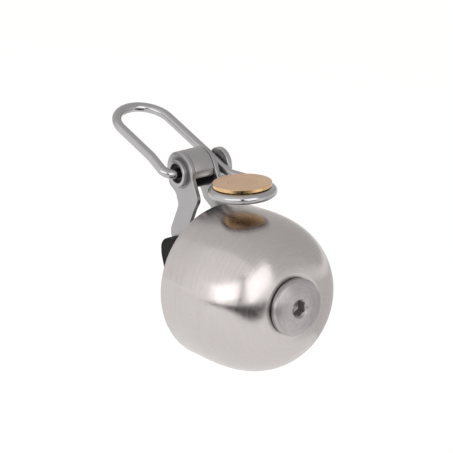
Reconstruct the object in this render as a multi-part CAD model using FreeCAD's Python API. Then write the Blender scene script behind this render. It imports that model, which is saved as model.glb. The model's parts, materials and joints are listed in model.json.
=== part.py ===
import FreeCAD, Part
import math
import os
from FreeCAD import Vector

# Small handlebar bell. The origin lies on the handlebar's axis, in the upright plane of the
# dome's axis; the bracket's two arms stand half a millimetre left of that plane.
# +X runs along the handlebar, the dome points along -Y, and +Z is up, the hammer's side.
# All lengths are in millimetres.

# Driving dimensions -------------------------------------------------------------------------

BAR_R = 15.9                # the saddle is hollowed for a 31.8 mm handlebar

DOME_R = 17.0               # widest outer radius
DOME_DEPTH = 24.4           # mouth to the tip of the outer curve
DOME_WALL = 1.45
DOME_WAIST = 7.4            # depth from the mouth at which the dome is widest
MOUTH_Y = -27.1             # plane of the dome's mouth
DOME_Z = 1.4                # the dome's axis sits a little above the handlebar's axis

SHEET = 1.0                 # bracket sheet thickness
LEFT_ARM_X = -4.0           # outer face of the left arm
RIGHT_ARM_X = 3.0           # outer face of the right arm
EAR_R = 4.5                 # rounded top of each arm, around the pivot
PIVOT_Y = -18.65
PIVOT_Z = 24.0

WIRE_R = 1.05               # striker wire, 2.1 mm
LEVER_TILT = 21.4           # degrees above level at rest
LEVER_LEFT_X = -7.4
LEVER_RIGHT_X = 5.2
LEVER_REACH = 23.7          # pivot axis to the middle of the wire at the tip
LEVER_RISE = 0.95           # the loop's plane passes this far above the pivot axis

HAMMER_Y = -35.2            # hammer axis
RING_Z = 22.65              # middle of the wire ring around the hammer
RING_R = 6.23               # middle radius of that ring
CAP_DISC_R = 6.25           # brass disc on top of the hammer
CAP_DISC_T = 0.85

FIT = 0.05                  # radial clearance of a running fit
HEX = 6                     # sides of a hexagon


# Shape helpers ------------------------------------------------------------------------------

def unit(vector):
    return Vector(vector).normalize()


def rounded_path(points, radii, closed=False):
    """Straight runs through the points, with a tangent arc of the given radius at each corner."""
    count = len(points)
    corners = range(count) if closed else range(1, count - 1)
    starts = {}
    ends = {}
    arcs = {}
    for i in corners:
        corner = points[i]
        starts[i] = corner
        ends[i] = corner
        radius = radii[i]
        if radius <= 0:
            continue
        back = unit(points[i - 1] - corner)
        ahead = unit(points[(i + 1) % count] - corner)
        half = back.getAngle(ahead) / 2
        reach = radius / math.tan(half)
        middle = unit(back + ahead) * (radius / math.sin(half) - radius)
        starts[i] = corner + back * reach
        ends[i] = corner + ahead * reach
        arcs[i] = Part.Arc(starts[i], corner + middle, ends[i]).toShape()
    edges = []
    for i in range(count if closed else count - 1):
        j = (i + 1) % count
        if i in arcs:
            edges.append(arcs[i])
        leave = ends.get(i, points[i])
        arrive = starts.get(j, points[j])
        if leave.distanceToPoint(arrive) > 1e-6:
            edges.append(Part.makeLine(leave, arrive))
    return edges


def plate_x(outline, radii, x, thickness):
    """Flat plate in the YZ plane from a list of (y, z) corners, from x to x + thickness."""
    points = [Vector(x, y, z) for y, z in outline]
    face = Part.Face(Part.Wire(rounded_path(points, radii, closed=True)))
    return face.extrude(Vector(thickness, 0, 0))


def tube_x(x0, x1, outer, inner=0.0, y=PIVOT_Y, z=PIVOT_Z):
    """Cylinder or tube along X."""
    shape = Part.makeCylinder(outer, x1 - x0, Vector(x0, y, z), Vector(1, 0, 0))
    if inner > 0:
        hole = Part.makeCylinder(inner, x1 - x0 + 2, Vector(x0 - 1, y, z), Vector(1, 0, 0))
        shape = shape.cut(hole)
    return shape


def rod_y(depth0, depth1, radius):
    """Cylinder on the dome's axis, between two depths measured forward from the mouth."""
    start = Vector(0, MOUTH_Y - depth0, DOME_Z)
    return Part.makeCylinder(radius, depth1 - depth0, start, Vector(0, -1, 0))


def washer_y(depth0, depth1, outer, inner):
    return rod_y(depth0, depth1, outer).cut(rod_y(depth0 - 1, depth1 + 1, inner))


def hex_y(depth0, depth1, across_flats):
    """Hexagonal prism on the dome's axis."""
    corner_r = across_flats / 2 / math.cos(math.pi / HEX)
    points = []
    for i in range(HEX + 1):
        angle = math.pi / 2 + i * 2 * math.pi / HEX
        x = corner_r * math.cos(angle)
        z = DOME_Z + corner_r * math.sin(angle)
        points.append(Vector(x, MOUTH_Y - depth0, z))
    face = Part.Face(Part.makePolygon(points))
    return face.extrude(Vector(0, depth0 - depth1, 0))


def turned_y(edges):
    """Solid of revolution about the dome's axis."""
    face = Part.Face(Part.Wire(edges))
    return face.revolve(Vector(0, 0, DOME_Z), Vector(0, 1, 0), 360)


def turned_z(outline, x, y):
    """Solid of revolution about a vertical axis from (radius, z) corners."""
    points = [Vector(x + radius, y, z) for radius, z in outline]
    face = Part.Face(Part.makePolygon(points + [points[0]]))
    return face.revolve(Vector(x, y, 0), Vector(0, 0, 1), 360)


def shell_x(x0, x1, inner, outer, front_angle, rear_angle):
    """Part of a tube around the pivot, over the top from the front angle to the rear angle.

    Both angles are degrees from straight up, the front one towards -Y, the rear one towards +Y.
    """
    tube = tube_x(x0, x1, outer, inner)
    reach = outer * 3
    gap = 360 - front_angle - rear_angle
    start = 90 + front_angle
    points = [Vector(x0 - 1, PIVOT_Y, PIVOT_Z)]
    steps = 6
    for i in range(steps + 1):
        angle = math.radians(start + gap * i / steps)
        y = PIVOT_Y + reach * math.cos(angle)
        z = PIVOT_Z + reach * math.sin(angle)
        points.append(Vector(x0 - 1, y, z))
    wedge = Part.Face(Part.makePolygon(points + [points[0]])).extrude(Vector(x1 - x0 + 2, 0, 0))
    return tube.cut(wedge)


# Dome ---------------------------------------------------------------------------------------

BELLY = 2.55                # exponents of the dome's outline: fuller than a sphere
SHOULDER = 3.3
LAND_R = 7.0                # flat land at the front that carries the screw
SCREW_HOLE_R = 3.15
RIM_R = 1.15                # rounding of the mouth's outer edge


def outline_depth(radius, length, r):
    """Depth from the mouth at which an outline of that widest radius has narrowed to r."""
    return DOME_WAIST + length * (1 - (r / radius) ** SHOULDER) ** (1 / BELLY)


OUTER_LENGTH = DOME_DEPTH - DOME_WAIST
INNER_LENGTH = OUTER_LENGTH - DOME_WALL
DOME_LAND = outline_depth(DOME_R, OUTER_LENGTH, LAND_R)
DOME_BACK = outline_depth(DOME_R - DOME_WALL, INNER_LENGTH, LAND_R - 0.5)


def dome_point(depth, radius):
    return Vector(0, MOUTH_Y - depth, DOME_Z + radius)


def dome_curve(radius, length, land_r, mouth_r, mouth_depth):
    """Smooth outline from the mouth, over the waist and in to the land, with its two ends."""
    points = [dome_point(mouth_depth, mouth_r)]
    steps = 9
    last = math.acos((land_r / radius) ** (SHOULDER / 2))
    for i in range(steps + 1):
        r = radius * math.cos(last * i / steps) ** (2 / SHOULDER)
        points.append(dome_point(outline_depth(radius, length, r), r))
    curve = Part.BSplineCurve()
    curve.interpolate(points)
    return curve.toShape(), points[0], points[-1]


def dome():
    mouth_r = DOME_R - 0.15
    outer, mouth_out, land_out = dome_curve(
        DOME_R, OUTER_LENGTH, LAND_R, mouth_r, RIM_R)
    inner, mouth_in, land_in = dome_curve(
        DOME_R - DOME_WALL, INNER_LENGTH, LAND_R - 0.5, mouth_r - DOME_WALL, 0.0)
    hole_out = dome_point(DOME_LAND, SCREW_HOLE_R)
    hole_in = dome_point(DOME_BACK, SCREW_HOLE_R)
    rim_face = dome_point(0, mouth_r - RIM_R)
    slope = math.sqrt(0.5)
    rim_middle = dome_point(RIM_R * (1 - slope), mouth_r - RIM_R * (1 - slope))
    rim = Part.Arc(rim_face, rim_middle, mouth_out).toShape()
    edges = [rim, outer,
             Part.makeLine(land_out, hole_out),
             Part.makeLine(hole_out, hole_in),
             Part.makeLine(hole_in, land_in),
             inner,
             Part.makeLine(mouth_in, rim_face)]
    return turned_y(Part.__sortEdges__(edges))


# Dome fastening, from the front inwards -----------------------------------------------------

HEAD_R = 6.15
HEAD_EDGE = 25.6            # depths forward of the mouth: the front edge of the head's rim,
HEAD_FACE = 26.25           # and the flat middle of its low cone
HEAD_T = 1.2                # thickness of the rim
HEAD_CHAMFER = 0.35
HEAD_FLAT_R = 3.3
SCREW_R = 2.5
SCREW_TIP = 12.4
BUSH_FLANGE_T = 0.6
SEAT_T = 0.7
POST_TOP = DOME_BACK - BUSH_FLANGE_T - SEAT_T


def dome_screw():
    back = HEAD_EDGE - HEAD_T
    outline = [(back, 0), (back, HEAD_R), (HEAD_EDGE - HEAD_CHAMFER, HEAD_R),
               (HEAD_EDGE, HEAD_R - HEAD_CHAMFER), (HEAD_FACE, HEAD_FLAT_R), (HEAD_FACE, 0)]
    points = [dome_point(depth, radius) for depth, radius in outline]
    head = turned_y(Part.makePolygon(points + points[:1]).Edges)
    screw = head.fuse(rod_y(SCREW_TIP, back, SCREW_R))
    mouth_r = 2.05
    sink_depth = 0.55
    socket_flats = 3.0
    floor_r = socket_flats / 2
    apex = Vector(0, MOUTH_Y - HEAD_FACE, DOME_Z)
    sink = Part.makeCone(mouth_r, floor_r, sink_depth, apex, Vector(0, 1, 0))
    socket = hex_y(HEAD_FACE - 2.6, HEAD_FACE, socket_flats)
    return screw.cut(sink).cut(socket).removeSplitter()


def head_washer():
    return washer_y(DOME_LAND, HEAD_EDGE - HEAD_T, HEAD_R - 0.95, SCREW_R + FIT)


def dome_bush():
    flange = washer_y(DOME_BACK - BUSH_FLANGE_T, DOME_BACK, 5.6, SCREW_R + FIT)
    sleeve = washer_y(DOME_BACK, DOME_LAND - 0.05, SCREW_HOLE_R - FIT, SCREW_R + FIT)
    return flange.fuse(sleeve).removeSplitter()


def dome_seat():
    return washer_y(POST_TOP, DOME_BACK - BUSH_FLANGE_T, 5.6, SCREW_R + FIT)


WEB_FRONT = -6.2            # the bracket's web lies behind the mouth
POST_FLATS = 8.0
SPIGOT_R = 3.0
BAND_THREAD_R = 1.65        # tapping size of M4
BAND_THREAD_LENGTH = 8.0
LOCK_T = 0.5
NUT_T = 2.4
SPIGOT_END = WEB_FRONT - SHEET - LOCK_T - NUT_T - 0.4


def centre_post():
    post = hex_y(WEB_FRONT, POST_TOP, POST_FLATS)
    collar = rod_y(WEB_FRONT, POST_TOP, POST_FLATS / 2 + 0.45)
    post = post.common(collar)
    post = post.fuse(rod_y(SPIGOT_END, WEB_FRONT, SPIGOT_R))
    post = post.cut(rod_y(SCREW_TIP - 1.5, POST_TOP + 1, SCREW_R))
    band_thread = rod_y(SPIGOT_END - 1, SPIGOT_END + BAND_THREAD_LENGTH, BAND_THREAD_R)
    return post.cut(band_thread).removeSplitter()


def post_lock_washer():
    back = WEB_FRONT - SHEET
    ring = washer_y(back - LOCK_T, back, 4.3, SPIGOT_R)
    teeth = 8
    for i in range(teeth):
        angle = 2 * math.pi * i / teeth
        centre = Vector(4.5 * math.cos(angle), MOUTH_Y - back - 1, DOME_Z + 4.5 * math.sin(angle))
        ring = ring.cut(Part.makeCylinder(0.7, LOCK_T + 2, centre, Vector(0, 1, 0)))
    return ring


def post_nut():
    front = WEB_FRONT - SHEET - LOCK_T
    nut = hex_y(front - NUT_T, front, POST_FLATS)
    nut = nut.common(rod_y(front - NUT_T, front, POST_FLATS / 2 + 0.5))
    return nut.cut(rod_y(front - NUT_T - 1, front + 1, SPIGOT_R))


# Bracket and saddle -------------------------------------------------------------------------

WEB_Y = MOUTH_Y - WEB_FRONT         # front face of the web
WEB_TOP = 9.6
PAD_R = 5.6                         # round foot of the web, around the post's spigot
FLANGE_BOTTOM = 6.6                 # the arms' flanges end here, just above the post's nut


def from_pivot(dy, dz):
    return PIVOT_Y + dy, PIVOT_Z + dz


def tangent_point(corner, front):
    """Where a line from the corner touches the ear's circle, on its front or rear side."""
    dy = corner[0] - PIVOT_Y
    dz = corner[1] - PIVOT_Z
    spread = math.acos(EAR_R / math.hypot(dy, dz))
    angle = math.atan2(dz, dy) + (-spread if front else spread)
    return from_pivot(EAR_R * math.cos(angle), EAR_R * math.sin(angle))


def arm(x, top_front, front_edge, rear_edge):
    """One arm: the round ear, and the strap below it between a front and a rear edge.

    Each edge is a list of (corner, radius) from the top down; the front one starts in the ear.
    """
    top_rear = tangent_point(rear_edge[0][0], front=False)
    outline = [top_front] + [c for c, r in front_edge] + [c for c, r in reversed(rear_edge)]
    radii = [0] + [r for c, r in front_edge] + [r for c, r in reversed(rear_edge)]
    outline.append(top_rear)
    radii.append(0)
    strap = plate_x(outline, radii, x, SHEET)
    return strap.fuse(tube_x(x, x + SHEET, EAR_R))


EAR_HOLE_R = 3.4
WEB_BACK = WEB_Y + SHEET


def left_arm():
    front_edge = [(from_pivot(-6.2, -5.1), 2.0),
                  (from_pivot(-4.55, -7.4), 3.0),
                  ((WEB_Y, WEB_TOP + 2.6), 4.0),
                  ((WEB_Y, FLANGE_BOTTOM), 0)]
    rear_edge = [(from_pivot(3.95, -3.35), 1.3),
                 (from_pivot(1.75, -4.75), 1.6),
                 (from_pivot(0.9, -7.3), 2.0),
                 (from_pivot(4.15, -13.3), 2.5),
                 (from_pivot(4.1, -15.4), 1.6),
                 ((WEB_BACK, FLANGE_BOTTOM), 0)]
    return arm(LEFT_ARM_X, from_pivot(-3.8, 0.56), front_edge, rear_edge)


def right_arm():
    front_edge = [(from_pivot(-6.9, -4.8), 2.0),
                  (from_pivot(-7.3, -9.0), 3.0),
                  (from_pivot(-6.6, -13.0), 2.0),
                  ((WEB_Y, FLANGE_BOTTOM), 0)]
    rear_edge = [(from_pivot(0.95, -4.8), 1.2),
                 (from_pivot(-0.1, -6.9), 1.2),
                 (from_pivot(-2.7, -8.45), 2.0),
                 (from_pivot(-3.1, -10.6), 1.5),
                 ((WEB_BACK, WEB_TOP + 0.6), 1.2),
                 ((WEB_BACK, FLANGE_BOTTOM), 0)]
    top_front = tangent_point(front_edge[0][0], front=True)
    return arm(RIGHT_ARM_X - SHEET, top_front, front_edge, rear_edge)


def web_plate(y, thickness, top):
    """The web's shape as a plate: a strip between the arms on a round foot."""
    foot = Part.makeCylinder(PAD_R, thickness, Vector(0, y, DOME_Z), Vector(0, 1, 0))
    strip = Part.makeBox(RIGHT_ARM_X - LEFT_ARM_X, thickness, top - DOME_Z,
                         Vector(LEFT_ARM_X, y, DOME_Z))
    return foot.fuse(strip)


def bracket():
    shape = web_plate(WEB_Y, SHEET, WEB_TOP).fuse(left_arm()).fuse(right_arm())
    shape = shape.cut(tube_x(LEFT_ARM_X - 1, RIGHT_ARM_X + 1, EAR_HOLE_R))
    shape = shape.cut(rod_y(WEB_FRONT - SHEET - 1, WEB_FRONT + 1, SPIGOT_R))
    return shape.removeSplitter()


SADDLE_HALF_X = 7.0
SADDLE_FRONT = WEB_Y - 0.5
SADDLE_LIP = -14.3
POCKET_R = 4.7


def saddle():
    outline = [(SADDLE_FRONT, -9.3), (SADDLE_LIP, -8.9), (SADDLE_LIP, 9.0), (SADDLE_FRONT, 10.4)]
    block = plate_x(outline, [1.5, 1.3, 2.4, 1.5], -SADDLE_HALF_X, 2 * SADDLE_HALF_X)
    side_edges = [edge for edge in block.Edges
                  if edge.BoundBox.XLength < 1e-6 and edge.BoundBox.YMax > SADDLE_FRONT + 0.1]
    block = block.makeFillet(0.9, side_edges)
    block = block.cut(tube_x(-SADDLE_HALF_X - 1, SADDLE_HALF_X + 1, BAR_R, y=0, z=0))
    block = block.cut(rod_y(-20, WEB_FRONT - SHEET, POCKET_R))
    block = block.cut(rod_y(-20, WEB_FRONT, SPIGOT_R))
    window = web_plate(WEB_Y - 1, 1, WEB_TOP + 4)
    return block.cut(window).cut(bracket())


# Pivot: housing, cover, bushes, spring and spindle ------------------------------------------

JOURNAL_R = 2.93
WAIST_R = 2.7
BUSH_OUTER_R = EAR_HOLE_R
LEFT_INSIDE = LEFT_ARM_X + SHEET    # inner face of each arm
RIGHT_INSIDE = RIGHT_ARM_X - SHEET
HOUSING_LEFT = LEFT_INSIDE + 0.05
HOUSING_RIGHT = RIGHT_INSIDE - 0.2
HOUSING_R = 3.9
CHAMBER_R = 3.6
END_WALL = 0.6
LINER_R = 4.18
COVER_R = 4.5
SHEET_GAP = 0.02


def spring_housing():
    shape = tube_x(HOUSING_LEFT, HOUSING_RIGHT, HOUSING_R, JOURNAL_R + FIT)
    chamber = tube_x(HOUSING_LEFT + END_WALL, HOUSING_RIGHT - END_WALL, CHAMBER_R)
    return shape.cut(chamber)


def barrel_liner():
    return shell_x(HOUSING_LEFT, HOUSING_RIGHT, HOUSING_R + SHEET_GAP, LINER_R, 101, 116)


def barrel_cover():
    return shell_x(HOUSING_LEFT, HOUSING_RIGHT, LINER_R + SHEET_GAP, COVER_R, 83, 100)


def ear_bush(x):
    return tube_x(x, x + SHEET, BUSH_OUTER_R, JOURNAL_R + FIT)


SPRING_WIRE_R = 0.25
SPRING_COIL_R = 3.15
SPRING_TURNS = 4.5


def torsion_spring():
    left = HOUSING_LEFT + END_WALL + SPRING_WIRE_R + 0.1
    right = HOUSING_RIGHT - END_WALL - SPRING_WIRE_R - 0.1
    pitch = (right - left) / SPRING_TURNS
    helix = Part.makeHelix(pitch, right - left, SPRING_COIL_R)
    start = Vector(SPRING_COIL_R, 0, 0)
    section = Part.Wire(Part.makeCircle(SPRING_WIRE_R, start, Vector(0, 1, 0)))
    coil = Part.Wire(helix).makePipeShell([section], True, True)
    coil.rotate(Vector(0, 0, 0), Vector(0, 1, 0), 90)
    coil.translate(Vector(left, PIVOT_Y, PIVOT_Z))
    return coil


SPINDLE_LEFT = -5.0
SPINDLE_RIGHT = 6.3
BORE_R = 2.12
BORE_FLOOR = -1.8
WIRE_END = 1.0
CAP_T = 1.25
CAP_R = 3.45
RIVET_R = 1.4


def lever_point(x, along, above=LEVER_RISE):
    """Point in the lever's plane, a distance along it from the pivot axis towards the tip."""
    tilt = math.radians(LEVER_TILT)
    y = PIVOT_Y + along * math.cos(tilt) - above * math.sin(tilt)
    z = PIVOT_Z + along * math.sin(tilt) + above * math.cos(tilt)
    return Vector(x, y, z)


NOTCH_LEFT = LEVER_RIGHT_X - WIRE_R - 0.02


def wire_notch():
    """Space above the notch floor that the lever's right strand lies in."""
    floor = LEVER_RISE - WIRE_R
    size = 2 * CAP_R
    corners = [lever_point(NOTCH_LEFT, -size, floor), lever_point(NOTCH_LEFT, size, floor),
               lever_point(NOTCH_LEFT, size, size), lever_point(NOTCH_LEFT, -size, size)]
    face = Part.Face(Part.makePolygon(corners + [corners[0]]))
    return face.extrude(Vector(SPINDLE_RIGHT - NOTCH_LEFT, 0, 0))


def spindle():
    shape = tube_x(SPINDLE_LEFT, SPINDLE_RIGHT, JOURNAL_R)
    waist = tube_x(LEFT_INSIDE + 0.15, RIGHT_INSIDE - 0.15, JOURNAL_R + 1, WAIST_R)
    shape = shape.cut(waist)
    shape = shape.cut(wire_notch())
    shape = shape.fuse(tube_x(SPINDLE_RIGHT, SPINDLE_RIGHT + CAP_T, RIVET_R))
    shape = shape.cut(tube_x(SPINDLE_LEFT - 1, BORE_FLOOR, BORE_R))
    shape = shape.cut(tube_x(BORE_FLOOR - 1, WIRE_END, WIRE_R)).removeSplitter()
    end_edges = [edge for edge in shape.Edges if edge.BoundBox.XMax < SPINDLE_LEFT + 0.01]
    return shape.makeFillet(0.22, end_edges)


def spindle_cap():
    cap = tube_x(SPINDLE_RIGHT, SPINDLE_RIGHT + CAP_T, CAP_R)
    edges = [edge for edge in cap.Edges if edge.BoundBox.XLength < 1e-6]
    cap = cap.makeChamfer(0.15, edges)
    return cap.cut(tube_x(SPINDLE_RIGHT - 1, SPINDLE_RIGHT + CAP_T + 1, RIVET_R))


# Striker wire and hammer --------------------------------------------------------------------

def striker_wire():
    """One bent wire: from the spindle's bore, round the lever loop, and once round the hammer."""
    turn_r = (LEVER_RIGHT_X - LEVER_LEFT_X) / 2 - 0.005
    entry_r = 2.1
    points = [Vector(WIRE_END, PIVOT_Y, PIVOT_Z),
              Vector(LEVER_LEFT_X, PIVOT_Y, PIVOT_Z),
              lever_point(LEVER_LEFT_X, 6.0),
              lever_point(LEVER_LEFT_X, LEVER_REACH),
              lever_point(LEVER_RIGHT_X, LEVER_REACH),
              lever_point(LEVER_RIGHT_X, -5.2),
              Vector(RING_R, HAMMER_Y + 7.0, RING_Z),
              Vector(RING_R, HAMMER_Y, RING_Z)]
    radii = [0, entry_r, 8.0, turn_r, turn_r, 5.0, 8.0, 0]
    edges = rounded_path(points, radii)
    edges += ring_arc()
    path = Part.Wire(edges)
    section = Part.Wire(Part.makeCircle(WIRE_R, points[0], Vector(1, 0, 0)))
    return path.makePipeShell([section], True, False, 2)


RING_END = 52               # degrees short of a full turn at which the ring's wire stops


def ring_arc():
    """The ring, from the right-hand side forwards and round, as two arcs."""
    stops = [0, -(360 - RING_END) / 2, -(360 - RING_END)]
    edges = []
    for start, end in zip(stops, stops[1:]):
        spots = []
        for angle in (start, (start + end) / 2, end):
            turn = math.radians(angle)
            spots.append(Vector(RING_R * math.cos(turn), HAMMER_Y + RING_R * math.sin(turn), RING_Z))
        edges.append(Part.Arc(*spots).toShape())
    return edges


CORE_R = RING_R - WIRE_R - 0.05
CORE_PIN_R = 3.15
SEAM = 0.04                 # edge break where the pin meets the disc, on the top face
CAP_BOTTOM = RING_Z + WIRE_R + 0.12
CAP_TOP = CAP_BOTTOM + CAP_DISC_T
LIP_TOP = RING_Z - WIRE_R - 0.02
STRIKE_Z = LIP_TOP - 0.55


def hammer_core():
    """Brass plug through the ring: pin at the top, plug, lower lip and rounded striking face."""
    outline = [(0, CAP_TOP), (CORE_PIN_R - SEAM, CAP_TOP), (CORE_PIN_R, CAP_TOP - SEAM),
               (CORE_PIN_R, CAP_BOTTOM), (CORE_R, CAP_BOTTOM), (CORE_R, LIP_TOP),
               (CORE_R + 0.3, LIP_TOP - 0.05), (CORE_R + 0.3, LIP_TOP - 0.2),
               (CORE_R - 0.6, STRIKE_Z + 0.1), (0, STRIKE_Z)]
    return turned_z(outline, 0, HAMMER_Y)


def hammer_cap():
    """Brass disc pressed on the core's pin."""
    edge = 0.12
    outline = [(CORE_PIN_R, CAP_BOTTOM), (CAP_DISC_R - edge, CAP_BOTTOM),
               (CAP_DISC_R, CAP_BOTTOM + edge), (CAP_DISC_R, CAP_TOP - edge),
               (CAP_DISC_R - edge, CAP_TOP), (CORE_PIN_R + SEAM, CAP_TOP),
               (CORE_PIN_R, CAP_TOP - SEAM)]
    return turned_z(outline, 0, HAMMER_Y)


# Output -------------------------------------------------------------------------------------

def nodes():
    return {
        "dome": dome(),
        "dome_screw": dome_screw(),
        "head_washer": head_washer(),
        "dome_bush": dome_bush(),
        "dome_seat": dome_seat(),
        "centre_post": centre_post(),
        "post_lock_washer": post_lock_washer(),
        "post_nut": post_nut(),
        "bracket": bracket(),
        "saddle": saddle(),
        "spring_housing": spring_housing(),
        "barrel_liner": barrel_liner(),
        "barrel_cover": barrel_cover(),
        "left_ear_bush": ear_bush(LEFT_ARM_X),
        "right_ear_bush": ear_bush(RIGHT_INSIDE),
        "torsion_spring": torsion_spring(),
        "spindle": spindle(),
        "spindle_cap": spindle_cap(),
        "striker_wire": striker_wire(),
        "hammer_core": hammer_core(),
        "hammer_cap": hammer_cap(),
    }


os.makedirs("parts", exist_ok=True)
for name, shape in nodes().items():
    shape.exportStep("parts/" + name + ".step")
    box = shape.BoundBox
    print("%-18s solids %d valid %s volume %8.2f  x %6.2f %6.2f  y %6.2f %6.2f  z %6.2f %6.2f" % (
        name, len(shape.Solids), shape.isValid(), shape.Volume,
        box.XMin, box.XMax, box.YMin, box.YMax, box.ZMin, box.ZMax))
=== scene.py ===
import bmesh
import bpy
import json
import math
from mathutils import Matrix, Vector

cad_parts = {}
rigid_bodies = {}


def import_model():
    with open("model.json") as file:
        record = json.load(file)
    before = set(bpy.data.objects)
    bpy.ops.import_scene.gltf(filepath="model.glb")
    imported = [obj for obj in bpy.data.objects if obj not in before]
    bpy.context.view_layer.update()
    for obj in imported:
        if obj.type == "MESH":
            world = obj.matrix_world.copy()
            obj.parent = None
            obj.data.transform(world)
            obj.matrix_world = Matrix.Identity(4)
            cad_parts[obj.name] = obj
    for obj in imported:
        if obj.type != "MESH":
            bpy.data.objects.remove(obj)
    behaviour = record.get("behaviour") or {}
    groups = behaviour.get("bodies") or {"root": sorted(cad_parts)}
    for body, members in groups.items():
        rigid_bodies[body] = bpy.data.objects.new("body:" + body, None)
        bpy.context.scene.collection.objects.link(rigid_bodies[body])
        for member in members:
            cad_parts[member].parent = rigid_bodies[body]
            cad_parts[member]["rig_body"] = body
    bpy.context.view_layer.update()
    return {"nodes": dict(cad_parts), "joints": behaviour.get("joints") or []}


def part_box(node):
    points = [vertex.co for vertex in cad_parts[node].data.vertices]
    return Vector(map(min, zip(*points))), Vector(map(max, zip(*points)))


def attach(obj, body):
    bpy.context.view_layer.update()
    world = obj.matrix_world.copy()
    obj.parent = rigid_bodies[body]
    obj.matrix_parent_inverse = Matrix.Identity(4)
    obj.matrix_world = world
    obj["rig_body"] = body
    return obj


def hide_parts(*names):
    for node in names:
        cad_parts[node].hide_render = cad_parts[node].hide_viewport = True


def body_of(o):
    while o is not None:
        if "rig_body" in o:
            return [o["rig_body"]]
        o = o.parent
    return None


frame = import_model()
nodes = frame["nodes"]

MM = 0.001


# Places taken from the frame -----------------------------------------------------------------

def middle(node):
    """The middle of a node's box."""
    low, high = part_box(node)
    return (low + high) / 2


DOME_MIDDLE = middle("dome")
PIVOT = Vector(frame["joints"][0]["pos_m"])
HAMMER = middle("hammer_cap")


# Node helpers --------------------------------------------------------------------------------

NOISE_LOW = 0.25
NOISE_HIGH = 0.75
UNSTRETCHED = (1, 1, 1)
FRAME_ORIGIN = (0, 0, 0)
ALONG_RING = 2.5


def new_material(name):
    """An empty node material with its Principled shader, and functions that add and link nodes."""
    material = bpy.data.materials.new(name)
    material.use_nodes = True
    tree = material.node_tree
    shader = tree.nodes["Principled BSDF"]

    def add(kind, **settings):
        node = tree.nodes.new(kind)
        for key, value in settings.items():
            if hasattr(node, key):
                setattr(node, key, value)
            else:
                node.inputs[key.replace("_", " ")].default_value = value
        return node

    def link(source, target):
        tree.links.new(source, target)

    return material, shader, add, link


def position(add, link, origin, scale):
    """Object position from an origin, stretched by a factor along each axis."""
    place = add("ShaderNodeTexCoord")
    mapping = add("ShaderNodeMapping")
    mapping.inputs["Location"].default_value = [-o * s for o, s in zip(origin, scale)]
    mapping.inputs["Scale"].default_value = scale
    link(place.outputs["Object"], mapping.inputs["Vector"])
    return mapping.outputs["Vector"]


def ring_position(add, link, axis, origin, fine):
    """Coordinates whose pattern runs in rings round an axis.

    It changes quickly from ring to ring, as fine says, and slowly along each ring.
    """
    place = position(add, link, origin, UNSTRETCHED)
    split = add("ShaderNodeSeparateXYZ")
    link(place, split.inputs[0])
    along = {"X": 0, "Y": 1, "Z": 2}[axis]
    across = [i for i in range(3) if i != along]
    plane = add("ShaderNodeCombineXYZ")
    link(split.outputs[across[0]], plane.inputs[0])
    link(split.outputs[across[1]], plane.inputs[1])
    radius = add("ShaderNodeVectorMath", operation="LENGTH")
    link(plane.outputs[0], radius.inputs[0])
    facing = add("ShaderNodeVectorMath", operation="NORMALIZE")
    link(plane.outputs[0], facing.inputs[0])
    turn = add("ShaderNodeSeparateXYZ")
    link(facing.outputs[0], turn.inputs[0])
    slope = add("ShaderNodeMath", operation="ADD")
    link(split.outputs[along], slope.inputs[0])
    link(radius.outputs["Value"], slope.inputs[1])
    fine_part = add("ShaderNodeMath", operation="MULTIPLY")
    fine_part.inputs[1].default_value = fine
    link(slope.outputs[0], fine_part.inputs[0])
    result = add("ShaderNodeCombineXYZ")
    link(fine_part.outputs[0], result.inputs[0])
    for i in range(2):
        part = add("ShaderNodeMath", operation="MULTIPLY")
        part.inputs[1].default_value = ALONG_RING
        link(turn.outputs[i], part.inputs[0])
        link(part.outputs[0], result.inputs[i + 1])
    return result.outputs[0]


def spread(add, link, source, low, high):
    """Maps the range that noise mostly keeps to, round 0.5, to low..high."""
    ranged = add("ShaderNodeMapRange")
    ranged.inputs["From Min"].default_value = NOISE_LOW
    ranged.inputs["From Max"].default_value = NOISE_HIGH
    ranged.inputs["To Min"].default_value = low
    ranged.inputs["To Max"].default_value = high
    link(source, ranged.inputs["Value"])
    return ranged.outputs["Result"]


def tinted(add, link, source, colour, change):
    """The colour, darkened and lightened a little by a 0..1 source."""
    mix = add("ShaderNodeMix", data_type="RGBA")
    mix.inputs["A"].default_value = [c * (1 - change) for c in colour] + [1]
    mix.inputs["B"].default_value = [min(1, c * (1 + change)) for c in colour] + [1]
    link(source, mix.inputs["Factor"])
    return mix.outputs["Result"]


def bump(add, link, height, shader, depth):
    """Lets a 0..1 source shade the surface as relief of this depth."""
    node = add("ShaderNodeBump")
    node.inputs["Distance"].default_value = depth
    link(height, node.inputs["Height"])
    link(node.outputs["Normal"], shader.inputs["Normal"])


# Materials -----------------------------------------------------------------------------------

QUARTER_TURN = 0.25


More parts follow.
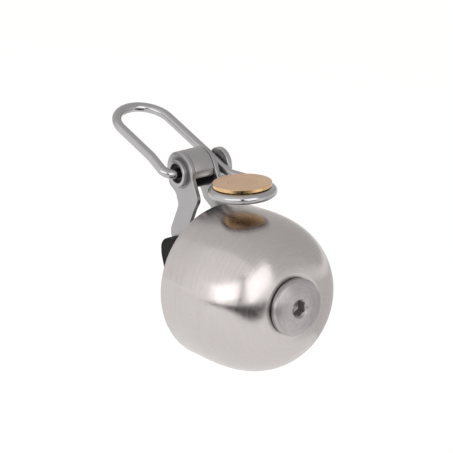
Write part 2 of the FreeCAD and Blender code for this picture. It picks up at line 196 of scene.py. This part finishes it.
def turned_metal(name, colour, roughness, axis, origin, fine=9000, depth=0.0006 * MM,
                 anisotropy=0.0, change=0.05, blotch_scale=260.0, wear=0.12):
    """Metal brushed or turned in rings round an axis.

    fine is how many marks there are to a metre, about; change is how much they vary the colour, and
    wear how much they and the blotches vary the roughness, as shares.
    """
    material, shader, add, link = new_material(name)
    rings = add("ShaderNodeTexNoise", Scale=1.0, Detail=3.0, Roughness=0.6)
    link(ring_position(add, link, axis, origin, fine), rings.inputs["Vector"])
    blotches = add("ShaderNodeTexNoise", Scale=blotch_scale, Detail=3.0, Roughness=0.6)
    link(position(add, link, origin, UNSTRETCHED), blotches.inputs["Vector"])
    shader.inputs["Metallic"].default_value = 1.0
    shader.inputs["Anisotropic"].default_value = anisotropy
    link(tinted(add, link, rings.outputs[0], colour, change), shader.inputs["Base Color"])
    blotch_half = add("ShaderNodeMath", operation="MULTIPLY")
    blotch_half.inputs[1].default_value = 0.5
    link(blotches.outputs[0], blotch_half.inputs[0])
    mean = add("ShaderNodeMath", operation="MULTIPLY_ADD")
    mean.inputs[1].default_value = 0.5
    link(rings.outputs[0], mean.inputs[0])
    link(blotch_half.outputs[0], mean.inputs[2])
    link(spread(add, link, mean.outputs[0], roughness * (1 - wear), roughness * (1 + wear)),
         shader.inputs["Roughness"])
    bump(add, link, rings.outputs[0], shader, depth)
    if anisotropy:
        tangent = add("ShaderNodeTangent", direction_type="RADIAL", axis=axis)
        link(tangent.outputs[0], shader.inputs["Tangent"])
        shader.inputs["Anisotropic Rotation"].default_value = QUARTER_TURN
    return material


LOOKS_DOWN = 0.35
LOOKS_UP = 0.6


def polished_below(material, colour, roughness):
    """Gives every face that doesn't look up a colour and a polish of its own.

    A face counts by the upward part of its normal, blended from LOOKS_DOWN to LOOKS_UP.
    """
    tree = material.node_tree
    shader = tree.nodes["Principled BSDF"]
    place = tree.nodes.new("ShaderNodeTexCoord")
    split = tree.nodes.new("ShaderNodeSeparateXYZ")
    tree.links.new(place.outputs["Normal"], split.inputs["Vector"])
    up = tree.nodes.new("ShaderNodeMapRange")
    up.inputs["From Min"].default_value = LOOKS_DOWN
    up.inputs["From Max"].default_value = LOOKS_UP
    tree.links.new(split.outputs["Z"], up.inputs["Value"])
    for socket, value in (("Base Color", colour + (1,)), ("Roughness", (roughness,) * 3 + (1,))):
        above = shader.inputs[socket].links[0].from_socket
        mix = tree.nodes.new("ShaderNodeMix")
        mix.data_type = "RGBA"
        mix.inputs["A"].default_value = value
        tree.links.new(above, mix.inputs["B"])
        tree.links.new(up.outputs["Result"], mix.inputs["Factor"])
        tree.links.new(mix.outputs["Result"], shader.inputs[socket])
    return material


BLAST_GRAIN = 0.12 * MM
BLAST_DEPTH = 0.004 * MM


def blasted_metal(name, colour, roughness):
    """Bead-blasted sheet: a fine even grain, with faint larger marks."""
    material, shader, add, link = new_material(name)
    shader.inputs["Metallic"].default_value = 1.0
    grains = add("ShaderNodeTexNoise", Scale=1.0 / BLAST_GRAIN, Detail=2.0, Roughness=0.7)
    link(position(add, link, FRAME_ORIGIN, UNSTRETCHED), grains.inputs["Vector"])
    marks = add("ShaderNodeTexNoise", Scale=380.0, Detail=4.0, Roughness=0.6)
    link(position(add, link, FRAME_ORIGIN, (1, 1, 0.5)), marks.inputs["Vector"])
    link(tinted(add, link, marks.outputs[0], colour, 0.07), shader.inputs["Base Color"])
    link(spread(add, link, marks.outputs[0], roughness * 0.9, roughness * 1.1),
         shader.inputs["Roughness"])
    bump(add, link, grains.outputs[0], shader, BLAST_DEPTH)
    return material


DRAW_MARK_DEPTH = 0.0008 * MM


def drawn_wire(name, colour, roughness):
    """Polished drawn wire, with faint draw marks and a few dull patches."""
    material, shader, add, link = new_material(name)
    shader.inputs["Metallic"].default_value = 1.0
    marks = add("ShaderNodeTexNoise", Scale=1.0, Detail=3.0, Roughness=0.6)
    link(position(add, link, FRAME_ORIGIN, (1600, 300, 1600)), marks.inputs["Vector"])
    patches = add("ShaderNodeTexNoise", Scale=500.0, Detail=2.0, Roughness=0.5)
    link(position(add, link, FRAME_ORIGIN, UNSTRETCHED), patches.inputs["Vector"])
    link(tinted(add, link, patches.outputs[0], colour, 0.04), shader.inputs["Base Color"])
    link(spread(add, link, patches.outputs[0], roughness * 0.7, roughness * 1.4),
         shader.inputs["Roughness"])
    bump(add, link, marks.outputs[0], shader, DRAW_MARK_DEPTH)
    return material


MOULD_GRAIN = 0.15 * MM
MOULD_DEPTH = 0.006 * MM


def dull_black(name, colour, roughness, specular=0.5):
    """Moulded rubber or nylon: a soft grain, with faint dust."""
    material, shader, add, link = new_material(name)
    grains = add("ShaderNodeTexNoise", Scale=1.0 / MOULD_GRAIN, Detail=3.0, Roughness=0.6)
    link(position(add, link, FRAME_ORIGIN, UNSTRETCHED), grains.inputs["Vector"])
    dust = add("ShaderNodeTexNoise", Scale=300.0, Detail=4.0, Roughness=0.6)
    link(position(add, link, FRAME_ORIGIN, UNSTRETCHED), dust.inputs["Vector"])
    shader.inputs["Specular IOR Level"].default_value = specular
    link(tinted(add, link, dust.outputs[0], colour, 0.2), shader.inputs["Base Color"])
    link(spread(add, link, dust.outputs[0], roughness * 0.85, min(1.0, roughness * 1.15)),
         shader.inputs["Roughness"])
    bump(add, link, grains.outputs[0], shader, MOULD_DEPTH)
    return material


DOME_STEEL = (0.545, 0.511, 0.505)
SCREW_STEEL = (0.42, 0.398, 0.398)
STEEL = (0.43, 0.425, 0.43)
WASHER_STEEL = (0.42, 0.42, 0.42)
BRACKET_STEEL = (0.39, 0.383, 0.39)
COVER_STEEL = (0.42, 0.405, 0.41)
LINER_STEEL = (0.62, 0.60, 0.59)
SPRING_STEEL = (0.5, 0.5, 0.5)
WIRE_STEEL = (0.44, 0.435, 0.445)
DARK_STEEL = (0.25, 0.245, 0.25)
BRASS = (0.74, 0.485, 0.305)
CORE_BRASS = (0.71, 0.465, 0.29)
GOLDEN_BRASS = (0.70, 0.47, 0.24)
# Black rubber, darkened beyond its own colour as painted shade beside the dome
SADDLE_RUBBER_AND_SHADE = (0.006, 0.0063, 0.0066)
SEAT_RUBBER = (0.03, 0.03, 0.03)
WASHER_RUBBER = (0.012, 0.012, 0.012)
BUSH_NYLON = (0.03, 0.03, 0.03)
# Black nylon, darkened beyond its own colour as painted shade under the barrel
HOUSING_NYLON_AND_SHADE = (0.005, 0.005, 0.005)

FINISH = {
    "dome": turned_metal("satin_dome", DOME_STEEL, 0.24, "Y", DOME_MIDDLE, fine=4000,
                         depth=0.0012 * MM, anisotropy=0.8, change=0.1, blotch_scale=520.0,
                         wear=0.3),
    "dome_screw": turned_metal("faced_steel", SCREW_STEEL, 0.36, "Y", DOME_MIDDLE, fine=2600,
                               depth=0.0016 * MM, anisotropy=0.3, change=0.3),
    "centre_post": turned_metal("turned_post", STEEL, 0.3, "Y", DOME_MIDDLE),
    "post_nut": turned_metal("turned_nut", STEEL, 0.32, "Y", DOME_MIDDLE),
    "post_lock_washer": blasted_metal("lock_washer_steel", WASHER_STEEL, 0.4),
    "bracket": blasted_metal("blasted_bracket", BRACKET_STEEL, 0.36),
    "barrel_cover": blasted_metal("blasted_cover", COVER_STEEL, 0.36),
    "barrel_liner": blasted_metal("rolled_liner", LINER_STEEL, 0.3),
    "spindle": turned_metal("turned_spindle", STEEL, 0.3, "X", PIVOT),
    "spindle_cap": turned_metal("turned_cap", STEEL, 0.34, "X", PIVOT),
    "torsion_spring": drawn_wire("spring_wire", SPRING_STEEL, 0.25),
    "striker_wire": drawn_wire("polished_wire", WIRE_STEEL, 0.15),
    "hammer_cap": polished_below(turned_metal("satin_brass", BRASS, 0.3, "Z", HAMMER, fine=3500,
                                              depth=0.0014 * MM, anisotropy=0.5, change=0.14),
                                 GOLDEN_BRASS, 0.12),
    "hammer_core": polished_below(turned_metal("turned_brass", CORE_BRASS, 0.34, "Z", HAMMER, fine=4500,
                                               change=0.12),
                                  GOLDEN_BRASS, 0.24),
    # The saddle's near-black colour and low specular are partly its black rubber and partly painted
    # shade beside the dome
    "saddle": dull_black("saddle_rubber_and_shade", SADDLE_RUBBER_AND_SHADE, 0.62, specular=0.18),
    "dome_seat": dull_black("seat_rubber", SEAT_RUBBER, 0.7),
    "head_washer": dull_black("washer_rubber", WASHER_RUBBER, 0.7),
    "dome_bush": dull_black("bush_nylon", BUSH_NYLON, 0.45),
    # The spring housing's near-black colour and low specular are partly its black nylon and partly
    # painted shade under the barrel
    "spring_housing": dull_black("housing_nylon_and_shade", HOUSING_NYLON_AND_SHADE, 0.4, specular=0.12),
    "left_ear_bush": turned_metal("left_bush_steel", DARK_STEEL, 0.34, "X", PIVOT),
    "right_ear_bush": turned_metal("right_bush_steel", DARK_STEEL, 0.34, "X", PIVOT),
}

for name, material in FINISH.items():
    mesh = nodes[name].data
    mesh.materials.clear()
    mesh.materials.append(material)


# Finished copies: the CAD's sharp edges rounded as deburring leaves them -------------------------

EDGE_ROUNDING = {
    "bracket": 0.13 * MM,
    "barrel_cover": 0.07 * MM,
    "barrel_liner": 0.06 * MM,
    "spring_housing": 0.10 * MM,
    "spindle_cap": 0.10 * MM,
    "post_nut": 0.15 * MM,
    "centre_post": 0.12 * MM,
    "dome_screw": 0.05 * MM,
}
SHARP_ANGLE = math.radians(28)
FLAT_ANGLE = math.radians(0.5)
SAME_POINT = 0.001 * MM
ROUNDING_STEPS = 3


def sharp_edges(bm):
    """The edges between faces that meet at a clear angle."""
    return [edge for edge in bm.edges
            if len(edge.link_faces) == 2 and edge.calc_face_angle() > SHARP_ANGLE]


def finished(node, rounding):
    """A copy of a node with its flat faces joined and its sharp edges rounded."""
    mesh = nodes[node].data.copy()
    copy = bpy.data.objects.new(node + "_finished", mesh)
    bpy.context.scene.collection.objects.link(copy)
    bm = bmesh.new()
    bm.from_mesh(mesh)
    bmesh.ops.remove_doubles(bm, verts=bm.verts, dist=SAME_POINT)
    bmesh.ops.dissolve_limit(bm, angle_limit=FLAT_ANGLE, verts=bm.verts, edges=bm.edges)
    bmesh.ops.bevel(bm, geom=sharp_edges(bm), offset=rounding, segments=ROUNDING_STEPS,
                    profile=0.5, affect="EDGES", clamp_overlap=True)
    for face in bm.faces:
        face.smooth = True
    bm.to_mesh(mesh)
    bm.free()
    mesh.set_sharp_from_angle(angle=SHARP_ANGLE)
    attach(copy, body_of(nodes[node])[0])
    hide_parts(node)


for node, rounding in EDGE_ROUNDING.items():
    finished(node, rounding)


# Stage ---------------------------------------------------------------------------------------

FLOOR_Z = -0.075
FLOOR_SIZE = 12
FLOOR_GLOW = 0.62
BACKDROP_R = 3
STAGE_GREY = (0.5, 0.5, 0.5)
STAGE_CHANGE = 0.01
WHITE_GLOW = (1, 0.99, 0.98, 1)
LAMP_DISTANCE = 0.5
MATT = 0.9


def direction(azimuth, elevation):
    """Unit vector away from the bell: azimuth 0 is in front of the dome, -90 its left side."""
    a = math.radians(azimuth)
    e = math.radians(elevation)
    return Vector((math.sin(a) * math.cos(e), -math.cos(a) * math.cos(e), math.sin(e)))


def floor():
    """A plain pale floor, lit a little from itself so that it stays even."""
    bpy.ops.mesh.primitive_plane_add(size=FLOOR_SIZE, location=(0, 0, FLOOR_Z))
    plane = bpy.context.object
    plane.name = "floor"
    material, shader, add, link = new_material("pale_floor")
    speckle = add("ShaderNodeTexNoise", Scale=40.0, Detail=3.0)
    link(tinted(add, link, speckle.outputs[0], STAGE_GREY, STAGE_CHANGE), shader.inputs["Base Color"])
    shader.inputs["Roughness"].default_value = MATT
    shader.inputs["Emission Color"].default_value = WHITE_GLOW
    shader.inputs["Emission Strength"].default_value = FLOOR_GLOW
    plane.data.materials.append(material)


def backdrop():
    """A plain white studio shell, seen only by the camera."""
    bpy.ops.mesh.primitive_uv_sphere_add(radius=BACKDROP_R, segments=48, ring_count=24)
    shell = bpy.context.object
    shell.name = "backdrop"
    shell.visible_diffuse = False
    shell.visible_glossy = False
    shell.visible_transmission = False
    shell.visible_shadow = False
    material, shader, add, link = new_material("white_backdrop")
    speckle = add("ShaderNodeTexNoise", Scale=2.0)
    link(tinted(add, link, speckle.outputs[0], STAGE_GREY, STAGE_CHANGE), shader.inputs["Base Color"])
    shader.inputs["Emission Color"].default_value = WHITE_GLOW
    shader.inputs["Emission Strength"].default_value = 1.0
    shell.data.materials.append(material)


def soft_light(name, azimuth, elevation, turn, half_width, half_height, radiance):
    """A rectangular soft light round a direction; its half sizes are angles seen from the dome."""
    data = bpy.data.lights.new(name, "AREA")
    data.shape = "RECTANGLE"
    data.size = 2 * LAMP_DISTANCE * math.tan(math.radians(half_width))
    data.size_y = 2 * LAMP_DISTANCE * math.tan(math.radians(half_height))
    data.energy = radiance * data.size * data.size_y * math.pi
    lamp = bpy.data.objects.new(name, data)
    bpy.context.scene.collection.objects.link(lamp)
    away = direction(azimuth, elevation)
    lamp.location = DOME_MIDDLE + away * LAMP_DISTANCE
    facing = away.to_track_quat("Z", "Y").to_matrix().to_4x4()
    lamp.rotation_euler = (Matrix.Rotation(math.radians(turn), 4, away) @ facing).to_euler()
    lamp.visible_camera = False


CARD_DISTANCE = 0.13
CARD_GLOW = (1, 0.985, 0.975, 1)


def card(name, outline, faces, tone, glow):
    """A matt card round the bell that only shows in its reflections.

    The outline is a list of (azimuth, elevation) seen from the dome.
    """
    points = [DOME_MIDDLE + direction(a, e) * CARD_DISTANCE for a, e in outline]
    mesh = bpy.data.meshes.new(name)
    mesh.from_pydata(points, [], faces)
    sheet = bpy.data.objects.new(name, mesh)
    bpy.context.scene.collection.objects.link(sheet)
    sheet.visible_camera = False
    sheet.visible_diffuse = False
    sheet.visible_shadow = False
    material, shader, add, link = new_material(name)
    shade = add("ShaderNodeTexNoise", Scale=30.0)
    link(tinted(add, link, shade.outputs[0], tone, 0.1), shader.inputs["Base Color"])
    shader.inputs["Roughness"].default_value = MATT
    shader.inputs["Emission Color"].default_value = CARD_GLOW
    shader.inputs["Emission Strength"].default_value = glow
    mesh.materials.append(material)


CARD_STEPS = 24


def curved_card(name, left, right, top, depth, tone, glow=0.0):
    """A card curved round the bell from one azimuth to another.

    Its top edge's elevation and its depth, in degrees, are functions of the place 0..1 along it.
    """
    outline = []
    for i in range(CARD_STEPS + 1):
        place = i / CARD_STEPS
        azimuth = left + (right - left) * place
        outline.append((azimuth, top(place)))
        outline.append((azimuth, top(place) - depth(place)))
    faces = [(2 * i, 2 * i + 2, 2 * i + 3, 2 * i + 1) for i in range(CARD_STEPS)]
    card(name, outline, faces, tone, glow)


BLACK = (0.02, 0.02, 0.02)
GREY = (0.3, 0.3, 0.3)


def even(value):
    """A measure that stays the same along a card."""
    return lambda place: value


def flag_top(place):
    """Sinks towards the right end."""
    return -1 - 8 * place ** 2


def flag_depth(place):
    """Shallow at the left end, deepest near the right end."""
    return 3 + 14 * math.sin(math.pi * place ** 2.4) ** 0.9


ROOM_BRIGHT_SIDE = (-0.9, 0.0, -0.44)
ROOM_LEVEL = 0.78
ROOM_CHANGE = 0.17
ROOM_COLOUR = (1.0, 0.985, 0.97, 1)


def world():
    """Soft room light, a little brighter from the lower left than from the right and overhead."""
    room = bpy.data.worlds.new("studio")
    room.use_nodes = True
    tree = room.node_tree
    shade = tree.nodes["Background"]
    place = tree.nodes.new("ShaderNodeTexCoord")
    side = tree.nodes.new("ShaderNodeVectorMath")
    side.operation = "DOT_PRODUCT"
    side.inputs[1].default_value = ROOM_BRIGHT_SIDE
    tree.links.new(place.outputs["Generated"], side.inputs[0])
    level = tree.nodes.new("ShaderNodeMath")
    level.operation = "MULTIPLY_ADD"
    level.inputs[1].default_value = ROOM_CHANGE
    level.inputs[2].default_value = ROOM_LEVEL
    tree.links.new(side.outputs["Value"], level.inputs[0])
    tree.links.new(level.outputs[0], shade.inputs["Strength"])
    shade.inputs["Color"].default_value = ROOM_COLOUR
    bpy.context.scene.world = room


CAMERA_AZIMUTH = -36.85
CAMERA_ELEVATION = 17.53
CAMERA_ROLL = -2.10
CAMERA_DISTANCE = 0.5234
CAMERA_AIM = Vector((0.00327, -0.02483, 0.01183))
CAMERA_LENS = 195.2
SENSOR_WIDTH = 36


def camera():
    """The camera, in front of the bell, on its left and a little above it."""
    data = bpy.data.cameras.new("camera")
    data.lens = CAMERA_LENS
    data.sensor_width = SENSOR_WIDTH
    data.clip_start = 0.01
    data.clip_end = 50
    camera_object = bpy.data.objects.new("camera", data)
    bpy.context.scene.collection.objects.link(camera_object)
    away = direction(CAMERA_AZIMUTH, CAMERA_ELEVATION)
    camera_object.location = CAMERA_AIM + away * CAMERA_DISTANCE
    turn = Matrix.Rotation(math.radians(CAMERA_ROLL), 4, away)
    facing = away.to_track_quat("Z", "Y").to_matrix().to_4x4()
    camera_object.rotation_euler = (turn @ facing).to_euler()
    bpy.context.scene.camera = camera_object


floor()
backdrop()
world()
soft_light("halo", -88, 30, 0, 54, 34, 0.24)
soft_light("left_softbox", -72, 13, 12, 27, 12, 1.15)
soft_light("right_softbox", -8, 14, 18, 20, 19, 1.3)
curved_card("flag", -104, 16, flag_top, flag_depth, BLACK)
curved_card("gap_flag", -44, -35, even(34), even(38), BLACK)
curved_card("right_card", 42, 150, even(-6), even(40), GREY, glow=0.4)
camera()
bpy.context.scene.view_settings.view_transform = "Standard"
